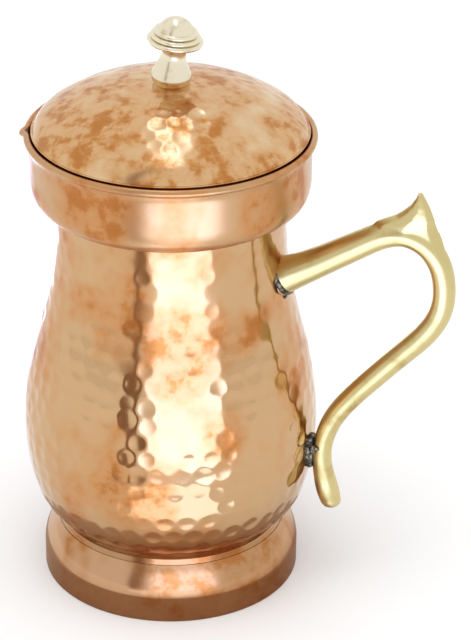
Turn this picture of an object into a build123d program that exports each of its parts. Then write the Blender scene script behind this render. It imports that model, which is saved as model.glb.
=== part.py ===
"""Lidded water jug: hammered copper body and lid, spun collar and foot, brass handle and knob.

Millimetres, +Z up.  The origin is on the jug's axis, in the plane that the foot stands on.
The handle stands on the +X side.  Everything round is revolved about Z.
"""
from build123d import *
import math
import os

# ---- driving dimensions --------------------------------------------------------------------
BODY_SHEET = 1.0          # copper sheet of the body and collar
LID_SHEET = 0.8           # copper sheet of the lid
FOOT_SHEET = 1.2          # heavier copper band of the foot

FOOT_R = 58.7             # outside radius of the foot's upright band
FOOT_BAND_TOP = 12.4      # height of the crease where the band turns in
FOOT_TOP = 24.6           # upper edge of the foot, round the waist
SKIRT_R = 53.0            # body below the waist, inside the foot
SKIRT_BOTTOM = 10.0
SKIRT_TOP = 23.5          # the skirt curves in to the waist from here
WAIST_R = 51.0
WAIST_Z = (28.4, 30.6)    # lower and upper end of the smooth waist
BELLY = [(53.5, 32.3), (59.2, 38.6), (63.2, 48.5), (65.8, 61.0), (66.6, 74.0), (65.6, 91.0),
         (62.7, 108.5), (58.1, 127.5), (53.2, 149.0)]
NECK_R = 51.3
NECK_Z = 172.0            # the neck is straight from here up
NECK_TOP = 187.0

COLLAR_R = 62.1           # outside of the collar's upright wall
COLLAR_BOTTOM = 183.2
COLLAR_SHOULDER = [(56.6, 184.9), (60.4, 188.6)]    # outer face, between neck and wall
COLLAR_INSIDE = [(56.1, 185.8), (59.6, 189.2)]      # inner face
COLLAR_WALL = (195.0, 208.0)
COLLAR_FLARE = (63.3, 214.4)                        # where the wall meets the rolled rim
BEAD_R = 62.9             # centre circle of the rolled rim
BEAD_Z = 215.4
BEAD_RADIUS = 1.6
RIM_WIRE_RADIUS = 0.8
WIRE_CLEARANCE = 0.05
LIP_ANGLE = 197.0         # pouring lip, degrees round from the handle
LIP_REACH = 3.8           # from the bead's centre circle to the lip's tip
LIP_HALF_WIDTH = 5.6
LIP_CHANNEL_R = 2.6       # of the channel along its top

BASE_Z = 15.5             # underside of the base disc
BASE_FLANGE = 4.5         # depth of its turned-down edge

LID_R = 62.2              # edge of the lid's flat lip
LID_Z = 217.05            # underside of the lip, just above the rolled rim
DOME_R = 60.6
DOME_RISE = 22.4
LID_SKIRT_R = 60.6
LID_SKIRT_BOTTOM = 205.0

KNOB_HEIGHT = 30.0
KNOB_RINGS = [(12.3, 18.3, 20.4), (11.0, 20.4, 22.4), (9.6, 22.4, 24.4)]    # radius, bottom, top
KNOB_BULGE = 0.8          # how far each ring's face swells
KNOB_CAP_R = 7.9
KNOB_SUNK = 1.5           # length of knob blank below the dome's top, cut away to its curve
KNOB_STEM = [(8.2, 0.4), (8.85, 2.6), (7.7, 6.2), (5.8, 10.8), (5.6, 14.0), (6.6, 16.6), (8.2, 17.7)]
KNOB_LEAN = 6.0           # degrees out of upright, towards the handle, as fitted by hand
SCREW_R = 2.0
SCREW_HEAD_R = 4.0
SCREW_HEAD = 2.4
SCREW_REACH = 9.0         # length of screw inside the knob
WASHER_R = 6.5
WASHER_THICKNESS = 0.8
HOLE_CLEARANCE = 0.15

# handle centre line in the XZ plane: x, z, size across in that plane
HANDLE = [(49.5, 152.9, 18.0), (57.5, 157.2, 15.8), (66.5, 162.3, 14.2), (77.0, 168.7, 13.2),
          (88.0, 175.5, 12.4), (97.5, 180.7, 11.8), (106.5, 182.5, 11.2), (115.5, 179.4, 10.8),
          (122.3, 171.4, 10.4), (125.2, 160.0, 10.2), (124.2, 148.4, 10.6), (118.8, 137.4, 10.9),
          (107.0, 123.6, 10.6), (94.4, 109.4, 10.4), (84.6, 97.6, 9.8), (77.0, 86.0, 9.4),
          (73.2, 75.6, 9.0), (72.1, 65.8, 8.9), (73.3, 56.6, 9.6), (75.4, 48.4, 10.4),
          (76.9, 43.6, 9.2), (77.8, 40.9, 5.4)]
HANDLE_DEPTH = 1.06       # size across Y over size across the plane

# thumb rest: height, middle x, length along X, thickness along Y
THUMB = [(176.3, 119.4, 11.6, 9.4), (181.4, 111.2, 24.6, 10.4), (186.5, 109.6, 23.4, 10.2),
         (190.4, 110.4, 18.8, 9.2), (193.6, 112.0, 12.8, 8.2), (196.9, 113.0, 8.0, 6.8),
         (200.7, 113.1, 3.4, 5.0), (203.2, 112.9, 1.8, 3.6)]

BRAZE_R = 10.8            # brazing round the handle's upper end, where it meets the neck
BRAZE_END_R = 8.2         # its outer end, on the bar
BRAZE_LENGTH = 10.5
PAD_Z = (59.5, 76.0)      # solder pad between the belly and the handle
PAD_WIDTH = 9.0
PAD_X = 72.0
SOLDER_FILM = 0.05        # between the body and what is soldered on it


# ---- helpers -------------------------------------------------------------------------------
def spun(section):
    """Revolve a face drawn in the XZ plane about the jug's axis."""
    return revolve(section, Axis.Z, 360)


def profile(*edges):
    """Close a run of edges, drawn with (radius, height) points, into a face in the XZ plane."""
    return Plane.XZ * make_face(Wire(list(edges)))


def inset(points, distance):
    """Move each point of a line sideways, to its right as it runs, by a distance."""
    moved = []
    for i, (r, z) in enumerate(points):
        before = points[max(i - 1, 0)]
        after = points[min(i + 1, len(points) - 1)]
        dr, dz = after[0] - before[0], after[1] - before[1]
        length = math.hypot(dr, dz)
        moved.append((r - dz / length * distance, z + dr / length * distance))
    return moved


def standing_cylinder(radius, height):
    """Cylinder that stands on the XY plane."""
    return Cylinder(radius, height, align=(Align.CENTER, Align.CENTER, Align.MIN))


def lines(points):
    """Straight edges through points."""
    return [Line(a, b) for a, b in zip(points[:-1], points[1:])]


def belly_points(sheet):
    """Outer (sheet 0) or inner face of the belly, from the waist up to the neck."""
    outer = [(WAIST_R, WAIST_Z[1]), *BELLY, (NECK_R, NECK_Z)]
    return inset(outer, sheet)


# ---- vessel --------------------------------------------------------------------------------
def body_outline(sheet, bottom, top):
    """Edges of one face of the body wall, from its lower end to its upper end."""
    belly = belly_points(sheet)
    belly[-1] = (NECK_R - sheet, NECK_Z)
    belly[0] = (WAIST_R - sheet, WAIST_Z[1])
    skirt_top = (SKIRT_R - sheet, SKIRT_TOP)
    return [
        Line((SKIRT_R - sheet, bottom), skirt_top),
        Spline(skirt_top, (WAIST_R - sheet, WAIST_Z[0]), tangents=[(0, 1), (0, 1)]),
        Line((WAIST_R - sheet, WAIST_Z[0]), belly[0]),
        Spline(*belly),
        Line(belly[-1], (NECK_R - sheet, top)),
    ]


def filled_body():
    """Everything inside the body's outer face and the film of solder on it, as one solid."""
    edges = body_outline(-SOLDER_FILM, SKIRT_BOTTOM, NECK_TOP)
    neck, skirt = NECK_R + SOLDER_FILM, SKIRT_R + SOLDER_FILM
    caps = lines([(neck, NECK_TOP), (0, NECK_TOP), (0, SKIRT_BOTTOM), (skirt, SKIRT_BOTTOM)])
    return spun(profile(*edges, *caps))


def body_shell():
    """Belly, neck and the short skirt that the foot and base are soldered to."""
    outer = body_outline(0, SKIRT_BOTTOM, NECK_TOP)
    inner = body_outline(BODY_SHEET, SKIRT_BOTTOM, NECK_TOP)
    rims = [Line((NECK_R, NECK_TOP), (NECK_R - BODY_SHEET, NECK_TOP)),
            Line((SKIRT_R, SKIRT_BOTTOM), (SKIRT_R - BODY_SHEET, SKIRT_BOTTOM))]
    return spun(profile(*outer, *inner, *rims))


def collar_sheet():
    """Half section of the collar without its rolled rim."""
    wall_r = COLLAR_R - BODY_SHEET
    outer = [(NECK_R, COLLAR_BOTTOM), *COLLAR_SHOULDER, (COLLAR_R, COLLAR_WALL[0])]
    inner = [(NECK_R, COLLAR_BOTTOM + 1.1), *COLLAR_INSIDE, (wall_r, COLLAR_WALL[0])]
    outer_top = COLLAR_FLARE
    inner_top = (COLLAR_FLARE[0] - BODY_SHEET, COLLAR_FLARE[1])
    return profile(
        Spline(*outer),
        Line(outer[-1], (COLLAR_R, COLLAR_WALL[1])),
        Spline((COLLAR_R, COLLAR_WALL[1]), outer_top, tangents=[(0, 1), (0.2, 1)]),
        Line(outer_top, inner_top),
        Spline(inner_top, (wall_r, COLLAR_WALL[1]), tangents=[(-0.2, -1), (0, -1)]),
        Line((wall_r, COLLAR_WALL[1]), inner[-1]),
        Spline(*reversed(inner)),
        Line(inner[0], outer[0]),
    )


def ring(centre_radius, height, radius):
    """Round bar bent into a level ring."""
    return Pos(0, 0, height) * Torus(centre_radius, radius)


def pouring_lip():
    """Small rounded lip pressed out of the rim, with a shallow channel along its top."""
    half = (LIP_REACH, LIP_HALF_WIDTH, BEAD_RADIUS)
    ball = scale(Sphere(1.0), by=half)
    above = BEAD_RADIUS + LIP_CHANNEL_R - 0.7
    channel = Pos(LIP_REACH * 0.4, 0, above) * Rot(0, 90, 0) * Cylinder(LIP_CHANNEL_R, 6.0)
    return Rot(0, 0, LIP_ANGLE) * Pos(BEAD_R, 0, BEAD_Z) * (ball - channel)


def mouth_collar():
    """Spun collar on the neck, its rim rolled round a wire."""
    wire_way = ring(BEAD_R, BEAD_Z, RIM_WIRE_RADIUS + WIRE_CLEARANCE)
    mouth = Pos(0, 0, BEAD_Z) * Cylinder(BEAD_R - BEAD_RADIUS, 10)
    lip = pouring_lip() - mouth
    return spun(collar_sheet()) + ring(BEAD_R, BEAD_Z, BEAD_RADIUS) + lip - wire_way


def collar_seam(collar):
    """Brazing run in the corner between the neck and the collar, inside the mouth."""
    corner = profile(*lines([(NECK_R, COLLAR_BOTTOM + 0.8), (54.4, COLLAR_BOTTOM + 0.8),
                             (54.4, COLLAR_BOTTOM + 2.0), (52.2, COLLAR_BOTTOM + 2.5),
                             (NECK_R, COLLAR_BOTTOM + 3.6), (NECK_R, COLLAR_BOTTOM + 0.8)]))
    return spun(corner) - collar


def base_disc():
    """Floor of the jug: a disc with its edge turned down inside the skirt."""
    radius = SKIRT_R - BODY_SHEET
    disc = Pos(0, 0, BASE_Z) * standing_cylinder(radius, FOOT_SHEET)
    flange = Cylinder(radius, BASE_FLANGE) - Cylinder(radius - FOOT_SHEET, BASE_FLANGE)
    return disc + Pos(0, 0, BASE_Z - BASE_FLANGE / 2) * flange


def base_seam():
    """Solder run under the edge of the base disc."""
    radius = SKIRT_R - BODY_SHEET
    top = BASE_Z - BASE_FLANGE
    return spun(profile(*lines([(radius, top), (radius - FOOT_SHEET, top), (radius, SKIRT_BOTTOM),
                                (radius, top)])))


def foot_ring():
    """Foot: an upright band with a shoulder drawn in to the waist."""
    outer = [(FOOT_R, FOOT_BAND_TOP), (58.0, 16.0), (56.7, 19.4), (54.9, FOOT_TOP - 1.6)]
    inner = [(FOOT_R - FOOT_SHEET, FOOT_BAND_TOP), (56.8, 15.7), (55.6, 18.6), (SKIRT_R, 22.4)]
    return spun(profile(
        Line((FOOT_R - 0.3, 0), (FOOT_R, 0.4)),
        Line((FOOT_R, 0.4), outer[0]),
        Spline(*outer),
        RadiusArc(outer[-1], (SKIRT_R, FOOT_TOP), -1.8),
        Line((SKIRT_R, FOOT_TOP), inner[-1]),
        Spline(*reversed(inner)),
        Line(inner[0], (FOOT_R - FOOT_SHEET, 0)),
        Line((FOOT_R - FOOT_SHEET, 0), (FOOT_R - 0.3, 0)),
    ))


# ---- handle --------------------------------------------------------------------------------
def handle_bar():
    """Round bar of the handle, lofted along its centre line."""
    centres = [Vector(x, 0, z) for x, z, size in HANDLE]
    sections = []
    for i, (x, z, size) in enumerate(HANDLE):
        along = centres[min(i + 1, len(centres) - 1)] - centres[max(i - 1, 0)]
        plane = Plane(origin=centres[i], x_dir=(0, 1, 0), z_dir=along)
        sections.append(plane * Ellipse(size / 2 * HANDLE_DEPTH, size / 2))
    return loft(sections)


def thumb_rest():
    """Fin drawn up from the handle's shoulder to a thin tip."""
    sections = [Plane(origin=(x, 0, z)) * Ellipse(length / 2, depth / 2)
                for z, x, length, depth in THUMB]
    return loft(sections)


def handle(filled):
    """Cast handle, its upper end shaped to the neck."""
    return handle_bar() + thumb_rest() - filled


def handle_braze(filled, casting):
    """Brazing built up round the handle's upper end on the neck."""
    x, z, size = HANDLE[0]
    start = Plane(origin=(x, 0, z), x_dir=(0, 1, 0), z_dir=(HANDLE[1][0] - x, 0, HANDLE[1][1] - z))
    collar = start * Cone(BRAZE_R, BRAZE_END_R, BRAZE_LENGTH, align=(Align.CENTER, Align.CENTER, Align.MIN))
    return collar - filled - casting


def solder_pad(filled, casting):
    """Pad of solder that joins the handle's lower end to the belly."""
    height = PAD_Z[1] - PAD_Z[0]
    block = Pos(PAD_X - 5, 0, (PAD_Z[0] + PAD_Z[1]) / 2) * Box(10, PAD_WIDTH, height)
    rounded = fillet(block.edges().filter_by(Axis.X), 2.5)
    return rounded - filled - casting


# ---- lid -----------------------------------------------------------------------------------
def dome_points():
    """Outer face of the dome, from the middle out: halfway between an ellipse and a round cap."""
    sphere = (DOME_R ** 2 + DOME_RISE ** 2) / (2 * DOME_RISE)
    points = []
    for share in (0.0, 0.3, 0.55, 0.75, 0.88, 0.96, 1.0):
        radius = DOME_R * share
        cap = math.sqrt(sphere ** 2 - radius ** 2) - (sphere - DOME_RISE)
        ellipse = DOME_RISE * math.sqrt(1 - share ** 2)
        points.append((radius, LID_Z + LID_SHEET + (cap + ellipse) / 2))
    return points


def dome_face(points):
    """Spline through the points of one face of the dome."""
    return Spline(*points)


def filled_dome():
    """Everything under the dome's outer face, down to the lip."""
    outer = dome_points()
    level = outer[-1][1]
    return spun(profile(dome_face(outer), *lines([outer[-1], (0, level), outer[0]])))


def dome_hollow():
    """Everything under the dome's inner face, down to the lip's underside."""
    drop = LID_SHEET
    inner = [(r * (DOME_R - drop) / DOME_R, z - drop) for r, z in dome_points()]
    return spun(profile(dome_face(inner), *lines([inner[-1], (0, LID_Z), inner[0]])))


def knob_place():
    """Frame of the knob: its foot on the top of the dome, leaning towards the handle."""
    return Pos(0, 0, dome_points()[0][1]) * Rot(0, KNOB_LEAN, 0)


def lid_dome(filled, hollow):
    """Domed lid with a flat lip that rests on the rolled rim."""
    lip = Pos(0, 0, LID_Z) * standing_cylinder(LID_R, LID_SHEET)
    hole = knob_place() * Cylinder(SCREW_R + HOLE_CLEARANCE, 12)
    return filled + lip - hollow - hole


def lid_skirt():
    """Locating ring soldered under the lip, which fits in the mouth."""
    height = LID_Z - LID_SKIRT_BOTTOM
    wall = Cylinder(LID_SKIRT_R, height) - Cylinder(LID_SKIRT_R - LID_SHEET, height)
    return Pos(0, 0, LID_SKIRT_BOTTOM + height / 2) * wall


def knob_outline():
    """Half outline of the turned knob, from the middle of its foot up to its top."""
    edges = lines([(0, -KNOB_SUNK), (KNOB_STEM[0][0], -KNOB_SUNK), KNOB_STEM[0]])
    edges.append(Spline(*KNOB_STEM))
    here = KNOB_STEM[-1]
    for radius, low, high in KNOB_RINGS:
        inner = radius - KNOB_BULGE
        edges.append(Line(here, (inner, low)))
        edges.append(ThreePointArc((inner, low), (radius, (low + high) / 2), (inner, high)))
        here = (inner, high)
    cap_edge = (KNOB_CAP_R, here[1])
    rise = KNOB_HEIGHT - here[1]
    sphere = (KNOB_CAP_R ** 2 + rise ** 2) / (2 * rise)
    halfway = math.asin(KNOB_CAP_R / sphere) / 2
    middle = (sphere * math.sin(halfway), KNOB_HEIGHT - sphere * (1 - math.cos(halfway)))
    edges.append(Line(here, cap_edge))
    edges.append(ThreePointArc(cap_edge, middle, (0, KNOB_HEIGHT)))
    edges.append(Line((0, KNOB_HEIGHT), (0, -KNOB_SUNK)))
    return edges


def knob(filled):
    """Turned brass knob, its foot shaped to the dome and bored for the screw."""
    bore = Pos(0, 0, -2) * standing_cylinder(SCREW_R + 0.02, SCREW_REACH + 2)
    turned = spun(profile(*knob_outline())) - bore
    return knob_place() * turned - filled


def knob_washer(hollow):
    """Dished washer under the dome."""
    depth = 3.0
    disc = Cylinder(WASHER_R, depth) - Cylinder(SCREW_R + HOLE_CLEARANCE, depth)
    blank = knob_place() * Pos(0, 0, -LID_SHEET - WASHER_THICKNESS + depth / 2) * disc
    return blank & hollow


def knob_screw():
    """Round-headed screw up through washer and dome into the knob."""
    seat = -LID_SHEET - WASHER_THICKNESS
    shank_length = SCREW_REACH - 0.3 - seat
    shank = Pos(0, 0, seat) * standing_cylinder(SCREW_R, shank_length)
    head = Pos(0, 0, seat - SCREW_HEAD) * standing_cylinder(SCREW_HEAD_R, SCREW_HEAD)
    domed = fillet(head.edges().group_by(Axis.Z)[0], 1.3)
    slot = Pos(0, 0, seat - SCREW_HEAD) * Box(2 * SCREW_HEAD_R, 1.0, 2.2)
    return knob_place() * (domed - slot + shank)


# ---- build and write -----------------------------------------------------------------------
def build():
    """Make every piece, by name."""
    filled = filled_body()
    collar = mouth_collar()
    casting = handle(filled)
    dome = filled_dome()
    hollow = dome_hollow()
    return {
        "hammered_body": body_shell(),
        "mouth_collar": collar,
        "rim_wire": ring(BEAD_R, BEAD_Z, RIM_WIRE_RADIUS),
        "collar_seam": collar_seam(collar),
        "base_disc": base_disc(),
        "base_seam": base_seam(),
        "foot_ring": foot_ring(),
        "handle": casting,
        "handle_braze": handle_braze(filled, casting),
        "solder_pad": solder_pad(filled, casting),
        "lid_dome": lid_dome(dome, hollow),
        "lid_skirt": lid_skirt(),
        "knob": knob(dome),
        "knob_washer": knob_washer(hollow),
        "knob_screw": knob_screw(),
    }


os.makedirs("parts", exist_ok=True)
for name, piece in build().items():
    export_step(piece, "parts/" + name + ".step")
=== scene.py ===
"""Copper water jug: its looks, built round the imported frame.

Hammered copper body and lid, plain spun collar and foot, cast brass handle, turned brass knob,
brazing and soft solder.  Blender works in metres; the sizes below are in millimetres, times MM.
"""

import logging
import math
from dataclasses import dataclass, field
from enum import Enum

import bpy
import numpy as np
from mathutils import Matrix, Vector


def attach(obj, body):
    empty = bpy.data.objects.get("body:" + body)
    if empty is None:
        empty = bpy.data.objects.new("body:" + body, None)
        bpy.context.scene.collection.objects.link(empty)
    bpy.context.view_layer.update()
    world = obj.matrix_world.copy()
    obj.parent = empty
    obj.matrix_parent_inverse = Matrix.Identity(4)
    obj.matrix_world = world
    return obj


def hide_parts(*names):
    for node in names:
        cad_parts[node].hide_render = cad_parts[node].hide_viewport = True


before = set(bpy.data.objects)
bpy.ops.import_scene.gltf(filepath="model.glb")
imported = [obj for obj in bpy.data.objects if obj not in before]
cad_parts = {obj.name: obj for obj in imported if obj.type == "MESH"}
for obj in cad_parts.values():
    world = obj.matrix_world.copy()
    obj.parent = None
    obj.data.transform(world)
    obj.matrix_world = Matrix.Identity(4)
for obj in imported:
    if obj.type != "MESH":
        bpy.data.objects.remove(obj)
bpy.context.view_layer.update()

LOG = logging.getLogger("jug")
MM = 0.001
MERGE = 1e-6
Point = tuple[float, float]
Triple = tuple[float, float, float]


class Body(Enum):
    """Bodies of the frame that a piece can ride on."""

    VESSEL = "vessel"
    LID = "lid"


# ---- small tools -----------------------------------------------------------------------------
def to_linear(code: str) -> tuple[float, float, float, float]:
    """Turn an sRGB hex colour into linear light.

    Args:
        code: colour as "#RRGGBB".

    Returns:
        Red, green, blue and an alpha of one.
    """
    channels = [int(code[i:i + 2], 16) / 255 for i in (1, 3, 5)]
    linear = [c / 12.92 if c <= 0.04045 else ((c + 0.055) / 1.055) ** 2.4 for c in channels]
    return (linear[0], linear[1], linear[2], 1.0)


def add_node(tree: bpy.types.NodeTree, kind: str, settings: dict | None = None,
             links: dict | None = None) -> bpy.types.Node:
    """Add one node.

    Args:
        tree: node tree that gets it.
        kind: its Blender class name.
        settings: its own properties, or a value for an input socket, by name.
        links: output socket to plug into each named or numbered input.

    Returns:
        The new node.
    """
    node = tree.nodes.new(kind)
    for name, value in (settings or {}).items():
        if isinstance(name, str) and hasattr(node, name):
            setattr(node, name, value)
        else:
            node.inputs[name].default_value = value
    for name, socket in (links or {}).items():
        tree.links.new(socket, node.inputs[name])
    return node


def deselect() -> None:
    """Leave edit mode and select nothing."""
    if bpy.context.object and bpy.context.object.mode != "OBJECT":
        bpy.ops.object.mode_set(mode="OBJECT")
    bpy.ops.object.select_all(action="DESELECT")


def pick(piece: bpy.types.Object) -> None:
    """Make one object the only selected and the active one."""
    deselect()
    piece.select_set(True)
    bpy.context.view_layer.objects.active = piece


def settle(piece: bpy.types.Object) -> None:
    """Put a finished piece's place into its mesh, so that its object sits at the origin."""
    pick(piece)
    bpy.ops.object.transform_apply(location=True, rotation=True, scale=True)


def coordinates(piece: bpy.types.Object, what: str = "co") -> np.ndarray:
    """Read a mesh's vertex places or normals.

    Args:
        piece: mesh object.
        what: "co" or "normal".

    Returns:
        One row of x, y, z for each vertex.
    """
    flat = np.zeros(len(piece.data.vertices) * 3, np.float32)
    piece.data.vertices.foreach_get(what, flat)
    return flat.reshape(-1, 3).astype(float)


def place(piece: bpy.types.Object, where: np.ndarray) -> None:
    """Move every vertex of a mesh to the given places."""
    piece.data.vertices.foreach_set("co", where.astype(np.float32).ravel())
    piece.data.update()


def smooth_line(points: list[Point], spacing: float) -> list[Point]:
    """Draw a natural cubic spline through points and sample it evenly.

    Args:
        points: (radius, height) or (x, z) points, in millimetres; more columns are carried along.
        spacing: distance between samples, in millimetres.

    Returns:
        The sampled points, both ends included.
    """
    p = np.array(points, float)
    t = np.concatenate([[0], np.cumsum(np.linalg.norm(np.diff(p[:, :2], axis=0), axis=1))])
    h = np.diff(t)
    count = len(t)
    matrix = np.eye(count)
    right = np.zeros_like(p)
    for i in range(1, count - 1):
        matrix[i, i - 1:i + 2] = h[i - 1], 2 * (h[i - 1] + h[i]), h[i]
        right[i] = 6 * ((p[i + 1] - p[i]) / h[i] - (p[i] - p[i - 1]) / h[i - 1])
    bend = np.linalg.solve(matrix, right)
    u = np.linspace(0, t[-1], max(2, round(t[-1] / spacing) + 1))
    k = np.clip(np.searchsorted(t, u, side="right") - 1, 0, count - 2)
    done, left, span = (u - t[k])[:, None], (t[k + 1] - u)[:, None], h[k][:, None]
    line = (bend[k] * left ** 3 + bend[k + 1] * done ** 3) / (6 * span)
    line += (p[k] / span - bend[k] * span / 6) * left
    line += (p[k + 1] / span - bend[k + 1] * span / 6) * done
    return [tuple(row) for row in line]


def arc(centre: Point, radius: float, start: float, end: float, count: int) -> list[Point]:
    """Points on a round arc.

    Args:
        centre: its middle, (radius, height).
        radius: its radius.
        start: angle of its first point, in degrees from outward, turning up.
        end: angle of its last point.
        count: how many points.

    Returns:
        The points in order.
    """
    angles = np.radians(np.linspace(start, end, count))
    return [(centre[0] + radius * math.cos(a), centre[1] + radius * math.sin(a)) for a in angles]


def thin(points: list[Point], step: int) -> list[Point]:
    """Keep every step-th point and the last one."""
    return points[:-1:step] + [points[-1]]


def inward(points: list[Point], distance: float) -> list[Point]:
    """Offset a line to its left as it runs upward, which is towards the axis."""
    p = np.array(points)
    along = np.gradient(p, axis=0)
    along /= np.linalg.norm(along, axis=1)[:, None]
    return [tuple(row) for row in p + np.stack([-along[:, 1], along[:, 0]], 1) * distance]


def trace(points: list[Point]) -> bpy.types.Object:
    """Draw a line in the upright x-z plane by extruding one vertex, and stay in edit mode.

    Args:
        points: (x, height) points in millimetres; more columns are left alone.

    Returns:
        The new mesh object.
    """
    deselect()
    bpy.ops.mesh.primitive_plane_add(size=MM)
    line = bpy.context.object
    bpy.ops.object.mode_set(mode="EDIT")
    bpy.ops.mesh.select_all(action="SELECT")
    bpy.ops.mesh.merge(type="CENTER")
    bpy.ops.transform.translate(value=(points[0][0] * MM, 0, points[0][1] * MM))
    for here, there in zip(points[:-1], points[1:]):
        step = {"value": ((there[0] - here[0]) * MM, 0, (there[1] - here[1]) * MM)}
        bpy.ops.mesh.extrude_region_move(TRANSFORM_OT_translate=step)
    return line


def lathe(name: str, outline: list[Point], steps: int) -> bpy.types.Object:
    """Spin a half outline about the upright axis into a closed skin.

    Args:
        name: name of the new object.
        outline: (radius, height) points in millimetres, closed or with both ends on the axis.
        steps: how many steps make a full turn.

    Returns:
        The new mesh object, at the origin, its faces pointing outwards.
    """
    piece = trace(outline)
    piece.name = name
    bpy.ops.mesh.select_all(action="SELECT")
    bpy.ops.mesh.spin(steps=steps, angle=2 * math.pi, center=(0, 0, 0), axis=(0, 0, 1))
    close_seams()
    bpy.ops.object.mode_set(mode="OBJECT")
    return piece


def close_seams() -> None:
    """In edit mode, merge what lies together, drop loose edges and turn every face outwards."""
    bpy.ops.mesh.select_all(action="SELECT")
    bpy.ops.mesh.remove_doubles(threshold=MERGE)
    bpy.ops.mesh.delete_loose(use_verts=True, use_edges=True, use_faces=False)
    bpy.ops.mesh.select_all(action="SELECT")
    bpy.ops.mesh.normals_make_consistent(inside=False)


def apply_modifier(piece: bpy.types.Object, kind: str, **settings: object) -> None:
    """Add a modifier with its settings and apply it."""
    pick(piece)
    modifier = piece.modifiers.new(kind.lower(), kind)
    for name, value in settings.items():
        setattr(modifier, name, value)
    bpy.ops.object.modifier_apply(modifier=modifier.name)


def join(first: bpy.types.Object, *others: bpy.types.Object) -> bpy.types.Object:
    """Join meshes into the first one."""
    pick(first)
    for other in others:
        other.select_set(True)
    bpy.ops.object.join()
    return first


def finish(piece: bpy.types.Object, material: bpy.types.Material, body: Body,
           nodes: tuple[str, ...], sharp_angle: float = 40.0) -> None:
    """Shade a piece, dress it and hang it on its body.

    Args:
        piece: finished mesh object.
        material: what it is made of.
        body: the body it moves with.
        nodes: CAD nodes that it stands for.
        sharp_angle: edges sharper than this stay crisp, in degrees.
    """
    settle(piece)
    bpy.ops.object.shade_smooth_by_angle(angle=math.radians(sharp_angle))
    piece.data.materials.clear()
    piece.data.materials.append(material)
    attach(piece, body.value)
    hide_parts(*nodes)
    LOG.info("%s: %d faces, stands for %s", piece.name, len(piece.data.polygons), ", ".join(nodes))


# ---- finishes --------------------------------------------------------------------------------
@dataclass(frozen=True)
class PolishedCopper:
    """Raised copper sheet, hammered or spun, then buffed and since tarnished in patches.

    Buffed copper mirrors its surroundings in pale pink-gold; warm handling tarnish lies on it in
    soft orange clouds, and polishing compound leaves fine scratches.
    """

    name: str
    bright: str = "#C7A278"
    warm: str = "#C4834A"
    deep: str = "#AE6C34"
    # dark brown mixed in low down: painted shade standing for the dark reflections under the belly and on
    # the foot's band
    painted_shade: str = "#6E452F"
    cloud_mm: float = 42.0        # size of a tarnish cloud
    mottle_mm: float = 11.0       # size of the mottling inside it
    cloud_cover: tuple[float, float] = (0.42, 0.60)
    painted_shade_z: tuple[float, float] = (34.0, 60.0)    # painted shade of dark reflections, deepest low down, fades out between these heights
    painted_shade_cover: float = 0.3
    roughness: tuple[float, float] = (0.11, 0.24)
    scratch_mm: float = 0.45      # buffing scratches, drawn coarse enough to show
    scratch_depth: float = 0.010
    scratch_stretch: Triple = (1.0, 1.0, 14.0)

    def make(self) -> bpy.types.Material:
        """Build the node material."""
        material, tree, shader = blank_material(self.name)
        where = add_node(tree, "ShaderNodeTexCoord").outputs["Object"]
        clouds = add_node(tree, "ShaderNodeTexNoise", {
            "Scale": 1 / (self.cloud_mm * MM), "Detail": 3.0, "Roughness": 0.5, "Distortion": 0.15},
            {"Vector": where})
        mottle = add_node(tree, "ShaderNodeTexNoise", {
            "Scale": 1 / (self.mottle_mm * MM), "Detail": 4.0, "Roughness": 0.6},
            {"Vector": where})
        cover = add_node(tree, "ShaderNodeMapRange", {
            "interpolation_type": "SMOOTHSTEP", "From Min": self.cloud_cover[0],
            "From Max": self.cloud_cover[1]}, {"Value": clouds.outputs["Fac"]})
        patch = add_node(tree, "ShaderNodeMapRange", {
            "interpolation_type": "SMOOTHSTEP", "From Min": 0.34, "From Max": 0.68, "To Min": 0.45},
            {"Value": mottle.outputs["Fac"]})
        tarnish = add_node(tree, "ShaderNodeMath", {"operation": "MULTIPLY"},
                           {0: cover.outputs[0], 1: patch.outputs[0]})
        depth = add_node(tree, "ShaderNodeMapRange", {
            "interpolation_type": "SMOOTHSTEP", "From Min": 0.62, "From Max": 1.0,
            "To Max": 0.75}, {"Value": tarnish.outputs[0]})
        light = add_node(tree, "ShaderNodeMix", {"data_type": "RGBA"}, {"Factor": tarnish.outputs[0]})
        light.inputs[6].default_value = to_linear(self.bright)
        light.inputs[7].default_value = to_linear(self.warm)
        colour = add_node(tree, "ShaderNodeMix", {"data_type": "RGBA"},
                          {"Factor": depth.outputs[0], 6: light.outputs[2]})
        colour.inputs[7].default_value = to_linear(self.deep)
        # painted shade: the colour darkens towards the painted shade tone below the given heights, for
        # dark reflections low down
        height = add_node(tree, "ShaderNodeSeparateXYZ", None, {0: where})
        low = add_node(tree, "ShaderNodeMapRange", {
            "interpolation_type": "SMOOTHSTEP", "From Min": self.painted_shade_z[0] * MM,
            "From Max": self.painted_shade_z[1] * MM, "To Min": self.painted_shade_cover, "To Max": 0.0},
            {"Value": height.outputs["Z"]})
        shaded_colour = add_node(tree, "ShaderNodeMix", {"data_type": "RGBA"},
                          {"Factor": low.outputs[0], 6: colour.outputs[2]})
        shaded_colour.inputs[7].default_value = to_linear(self.painted_shade)
        gloss = add_node(tree, "ShaderNodeMapRange", {
            "To Min": self.roughness[0], "To Max": self.roughness[1]}, {"Value": tarnish.outputs[0]})
        stretch = add_node(tree, "ShaderNodeMapping", {"Scale": self.scratch_stretch}, {"Vector": where})
        scratches = add_node(tree, "ShaderNodeTexNoise", {
            "Scale": 1 / (self.scratch_mm * MM * 12), "Detail": 6.0, "Roughness": 0.75},
            {"Vector": stretch.outputs[0]})
        bump = add_node(tree, "ShaderNodeBump", {"Strength": 0.35, "Distance": self.scratch_depth * MM},
                        {"Height": scratches.outputs["Fac"]})
        tree.links.new(shaded_colour.outputs[2], shader.inputs["Base Color"])
        tree.links.new(gloss.outputs[0], shader.inputs["Roughness"])
        tree.links.new(bump.outputs[0], shader.inputs["Normal"])
        return material


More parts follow.
